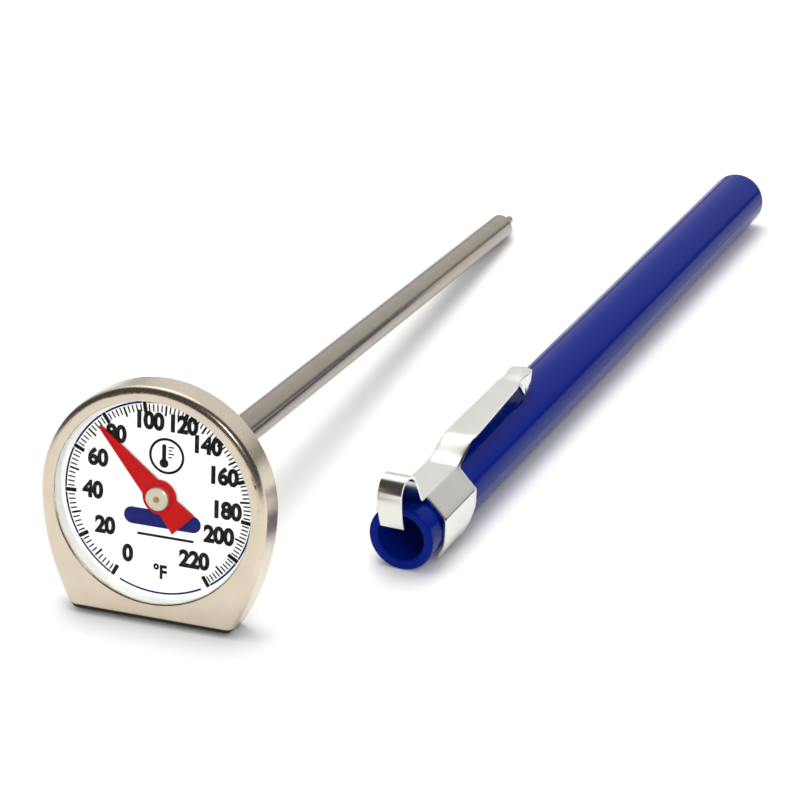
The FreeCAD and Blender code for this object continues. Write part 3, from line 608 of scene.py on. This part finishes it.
def clip_path():
    """Points (y, z) on the outside of the clip, from the free end of its hook to its foot."""
    skin = SHEET / 2
    lean = 26
    heading = math.radians(lean - 90)
    points = arc_points((5.55, 6.35), 8.6 + skin, 207, 180, BEND_ROWS)
    points += arc_points((-1.2, 6.35), 1.85 + skin, 180, lean, CREST_ROWS)[1:]
    bend = 0.9
    bend_drop = bend * (1 - math.cos(heading))
    leg = (points[-1][1] - BAND_FLAT - bend_drop) / -math.sin(heading)
    top = points[-1]
    for step in range(1, 9):
        reach_down = leg * step / 8
        points.append((top[0] + reach_down * math.cos(heading), top[1] + reach_down * math.sin(heading)))
    centre = (points[-1][0] - bend * math.sin(heading), BAND_FLAT + bend)
    points += arc_points(centre, bend, 180 + lean, 270, 8)[1:]
    flat = 17
    points += [(BAND_FRONT + (11.4 - BAND_FRONT) * step / flat, BAND_FLAT) for step in range(flat + 1)]
    points += [(y, BAND_FLAT + z) for y, z in hermite((11.4, 0), (16.65, 1.84), 0, 0.038, 15)]
    points += hermite(points[-1], (FLAP_START, 6.67), 0.038, 0.038, 20)
    points += hermite(points[-1], (34.9, 6.95), 0.038, 0.0, 10)
    points += hermite(points[-1], (36.95, 6.5), 0.0, -0.8, 12)
    return points


def clip_half_width(place, index):
    """Half the width of the clip's top, up to its first fold."""
    if index < HOOK_ROWS or place < BAND_FRONT:
        return 1.42 + 0.35 * ease(index, HOOK_ROWS / 2, HOOK_ROWS + 12)
    table = [(BAND_BACK, BAND_HALF), (LIP_END, 1.84), (FLAP_START, 1.44), (33.0, 1.15), (34.6, 1.38)]
    width = along_table(place, table)
    if place > 35.5:
        width *= math.sqrt(max(0.02, 1 - ((place - 35.5) / 1.48) ** 2))
    return width


def clip_sides(place):
    """Distances beyond the first fold where the sheet goes on, and the angle of each fold."""
    if BAND_FRONT - 1e-6 <= place <= BAND_BACK + 1e-6:
        return [*BAND_COLUMNS, BAND_END], 45
    if BAND_BACK < place < LIP_END:
        length = LIP * (1 - ease(place, BAND_BACK - 2, LIP_END))
        return [length * share for share in (0.16, 0.5, 1)], 45
    if FLAP_START < place < FLAP_END:
        length = along_table(place, FLAP_LENGTHS)
        return [min(0.08, length / 3), length * 0.5, length], 78
    return [], 0


def clip_section(half, sides, angle, crown):
    """Points (x, drop) across one side of the clip, walked out from its middle line."""
    stops = [half * share for share in (0, 0.25, 0.5, 0.75)] + [half - FOLD / 2, half]
    stops += [half + side for side in sides]
    points = []
    x = drop = walked = 0.0
    for stop in stops:
        while walked < stop - 1e-9:
            step = min(0.02, stop - walked)
            middle = walked + step / 2
            turn = 2 * crown * min(middle, half) / half**2
            if sides:
                for fold, length in BAND_FOLDS:
                    share = (middle - half - fold + length / 2) / length
                    turn += math.radians(angle) * min(1.0, max(0.0, share))
            x += step * math.cos(turn)
            drop -= step * math.sin(turn)
            walked += step
        points.append((x, drop))
    return points


def band_place(place, beyond):
    """Where a point of the band lies along the sheath: its back edge runs forward low down."""
    share = (place - BAND_FRONT) / (BAND_BACK - BAND_FRONT)
    back = BAND_BACK - 1.6 * ease(beyond, 5.2, 7.2)
    front = BAND_FRONT + 0.12 * math.sin(min(1.0, beyond / 3.5) * math.pi)
    return front + share * (back - front)


def pocket_clip():
    """The sprung clip, one bent sheet: mouth hook, eight-sided band, arm and curled foot."""
    path = clip_path()
    points = []
    rows = []
    for index, (y, z) in enumerate(path):
        before = path[max(0, index - 1)]
        after = path[min(len(path) - 1, index + 1)]
        along = Vector((after[0] - before[0], after[1] - before[1])).normalized()
        normal = Vector((-along.y, along.x))
        behind_hook = index >= HOOK_ROWS
        sides, angle = clip_sides(y) if behind_hook else ([], 0)
        in_band = len(sides) > 3
        if in_band or (behind_hook and y > FLAP_START):
            normal = Vector((0, 1))
        crown = 0.14 * ease(y, 11.6, 13.6) * (1 - ease(y, 14.5, 18)) if behind_hook else 0
        crown += 0.04 * ease(y, 14, 18) + 0.12 * ease(y, 33, 34.5) if behind_hook else 0
        half = clip_half_width(y, index)
        shift = ARM_SHIFT * ease(y, BAND_BACK, LIP_END)
        row = []
        for column, (x, drop) in enumerate(clip_section(half, sides, angle, crown)):
            place = y + normal.x * drop
            if in_band and column > 5:
                place = band_place(y, sides[column - 6])
            pair = []
            for side in (1, -1):
                if column == 0 and side == -1:
                    pair.append(pair[0])
                    continue
                pair.append(len(points))
                points.append((x * side + shift, place, z + normal.y * drop))
            row.append(pair)
        rows.append(row)
    faces = []
    for row, following in zip(rows, rows[1:]):
        for column in range(min(len(row), len(following)) - 1):
            for side in (0, 1):
                face = [row[column], row[column + 1], following[column + 1], following[column]]
                corners = [pair[side] for pair in face]
                faces.append(corners if side == 0 else corners[::-1])
    piece = make_piece("clip_sheet", points, faces, SHEATH, "sheath", materials["clip_chrome"], smooth=True)
    sheet = piece.modifiers.new("sheet", "SOLIDIFY")
    sheet.thickness = SHEET * MM
    sheet.offset = -1
    edge = piece.modifiers.new("edge", "BEVEL")
    edge.width = EDGE_ROUND * MM
    edge.segments = 2
    edge.limit_method = "ANGLE"
    edge.angle_limit = math.radians(60)
    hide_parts("pocket_clip")


pocket_clip()

# --------------------------------------------------------------------------- scene

VIEW_TARGET = (13.12, 36.04, 0.15)
VIEW_DISTANCE = 336.3
VIEW_AZIMUTH = 23.59
VIEW_ELEVATION = 23.85
VIEW_ROLL = 0.57
LENS = 131.38
SENSOR = 36
FLOOR_HALF = 3.0
DOME = 0.68
SCREEN_TOWARD = (-0.3, 0.85, 0.35)
CEILING_TOWARD = (-0.25, 0.4, 0.85)


def make_camera():
    """The camera, placed from the middle of the thermometer's face."""
    azimuth = math.radians(VIEW_AZIMUTH)
    elevation = math.radians(VIEW_ELEVATION)
    roll = math.radians(VIEW_ROLL)
    back = Vector(
        (
            math.sin(azimuth) * math.cos(elevation),
            -math.cos(azimuth) * math.cos(elevation),
            math.sin(elevation),
        )
    )
    right = Vector((0, 0, 1)).cross(back).normalized()
    up = back.cross(right)
    tilted_right = right * math.cos(roll) + up * math.sin(roll)
    tilted_up = up * math.cos(roll) - right * math.sin(roll)
    target = DIAL.translation + Vector(VIEW_TARGET) * MM
    camera = bpy.data.objects.new("camera", bpy.data.cameras.new("camera"))
    camera.data.lens = LENS
    camera.data.sensor_width = SENSOR
    camera.data.clip_start = 0.01
    camera.data.clip_end = 20
    place = target + back * VIEW_DISTANCE * MM
    camera.matrix_world = frame_matrix(tilted_right, tilted_up, back, place)
    bpy.context.scene.collection.objects.link(camera)
    bpy.context.scene.camera = camera


def make_floor():
    """A plain white sheet of paper, large enough for every view."""
    mesh = bpy.data.meshes.new("floor")
    corners = [(x * FLOOR_HALF, y * FLOOR_HALF, 0) for x, y in ((-1, -1), (1, -1), (1, 1), (-1, 1))]
    mesh.from_pydata(corners, [], [(0, 1, 2, 3)])
    floor = bpy.data.objects.new("floor", mesh)
    bpy.context.scene.collection.objects.link(floor)
    paper = solid("floor_white", (0.9, 0.9, 0.9), 0.6, Matrix.Identity(4), pattern=60, vary=0.004)
    mesh.materials.append(paper)


def make_light(name, position, size, power, glossy=True):
    """A rectangular area light aimed at the origin, its place and size in metres."""
    lamp = bpy.data.lights.new(name, "AREA")
    lamp.shape = "RECTANGLE"
    lamp.size, lamp.size_y = size
    lamp.energy = power
    light = bpy.data.objects.new(name, lamp)
    light.location = position
    light.rotation_euler = (-Vector(position)).to_track_quat("-Z", "Y").to_euler()
    light.visible_glossy = glossy
    bpy.context.scene.collection.objects.link(light)


def ramp(tree, value, low, high, first, last):
    """Runs smoothly from first to last as a value goes from low to high."""
    node = add_node(tree, "ShaderNodeMapRange", interpolation_type="SMOOTHSTEP")
    node.inputs["From Min"].default_value = low
    node.inputs["From Max"].default_value = high
    node.inputs["To Min"].default_value = first
    node.inputs["To Max"].default_value = last
    tree.links.new(value, node.inputs["Value"])
    return node.outputs["Result"]


def make_world():
    """An even white dome for soft light; shiny surfaces see a bright screen and ceiling instead."""
    world = bpy.data.worlds.new("studio")
    bpy.context.scene.world = world
    world.use_nodes = True
    tree = world.node_tree
    direction = add_node(tree, "ShaderNodeTexCoord").outputs["Generated"]
    toward = add_node(tree, "ShaderNodeVectorMath", operation="DOT_PRODUCT")
    tree.links.new(direction, toward.inputs[0])
    toward.inputs[1].default_value = Vector(SCREEN_TOWARD).normalized()
    parts = add_node(tree, "ShaderNodeSeparateXYZ")
    tree.links.new(direction, parts.inputs["Vector"])
    screen = ramp(tree, toward.outputs["Value"], 0.45, 0.85, 0.0, 0.85)
    above_table = ramp(tree, parts.outputs["Z"], 0.06, 0.16, 0.15, 1.0)
    overhead = add_node(tree, "ShaderNodeVectorMath", operation="DOT_PRODUCT")
    tree.links.new(direction, overhead.inputs[0])
    overhead.inputs[1].default_value = Vector(CEILING_TOWARD).normalized()
    ceiling = ramp(tree, overhead.outputs["Value"], 0.86, 1.0, 0.06, 1.3)
    glossy = add_node(tree, "ShaderNodeMath", operation="MULTIPLY_ADD")
    tree.links.new(screen, glossy.inputs[0])
    tree.links.new(above_table, glossy.inputs[1])
    tree.links.new(ceiling, glossy.inputs[2])
    path = add_node(tree, "ShaderNodeLightPath")
    strength = add_node(tree, "ShaderNodeMix", data_type="FLOAT")
    strength.inputs["A"].default_value = DOME
    mirrored = add_node(tree, "ShaderNodeMath", operation="MULTIPLY")
    tree.links.new(path.outputs["Is Glossy Ray"], mirrored.inputs[0])
    tree.links.new(path.outputs["Is Reflection Ray"], mirrored.inputs[1])
    tree.links.new(mirrored.outputs["Value"], strength.inputs["Factor"])
    tree.links.new(glossy.outputs["Value"], strength.inputs["B"])
    tree.nodes["Background"].inputs["Color"].default_value = (1, 1, 1, 1)
    tree.links.new(strength.outputs["Result"], tree.nodes["Background"].inputs["Strength"])


make_camera()
make_floor()
make_light("key", (-0.12, 0.1, 0.78), (0.55, 0.55), 4.6, glossy=False)
make_light("edge", (0.4, -0.41, 0.5), (0.12, 0.2), 0.6)
make_light("front", (0.15, -0.9, 0.25), (0.5, 0.3), 2.4, glossy=False)
make_world()
bpy.context.scene.view_settings.view_transform = "Standard"
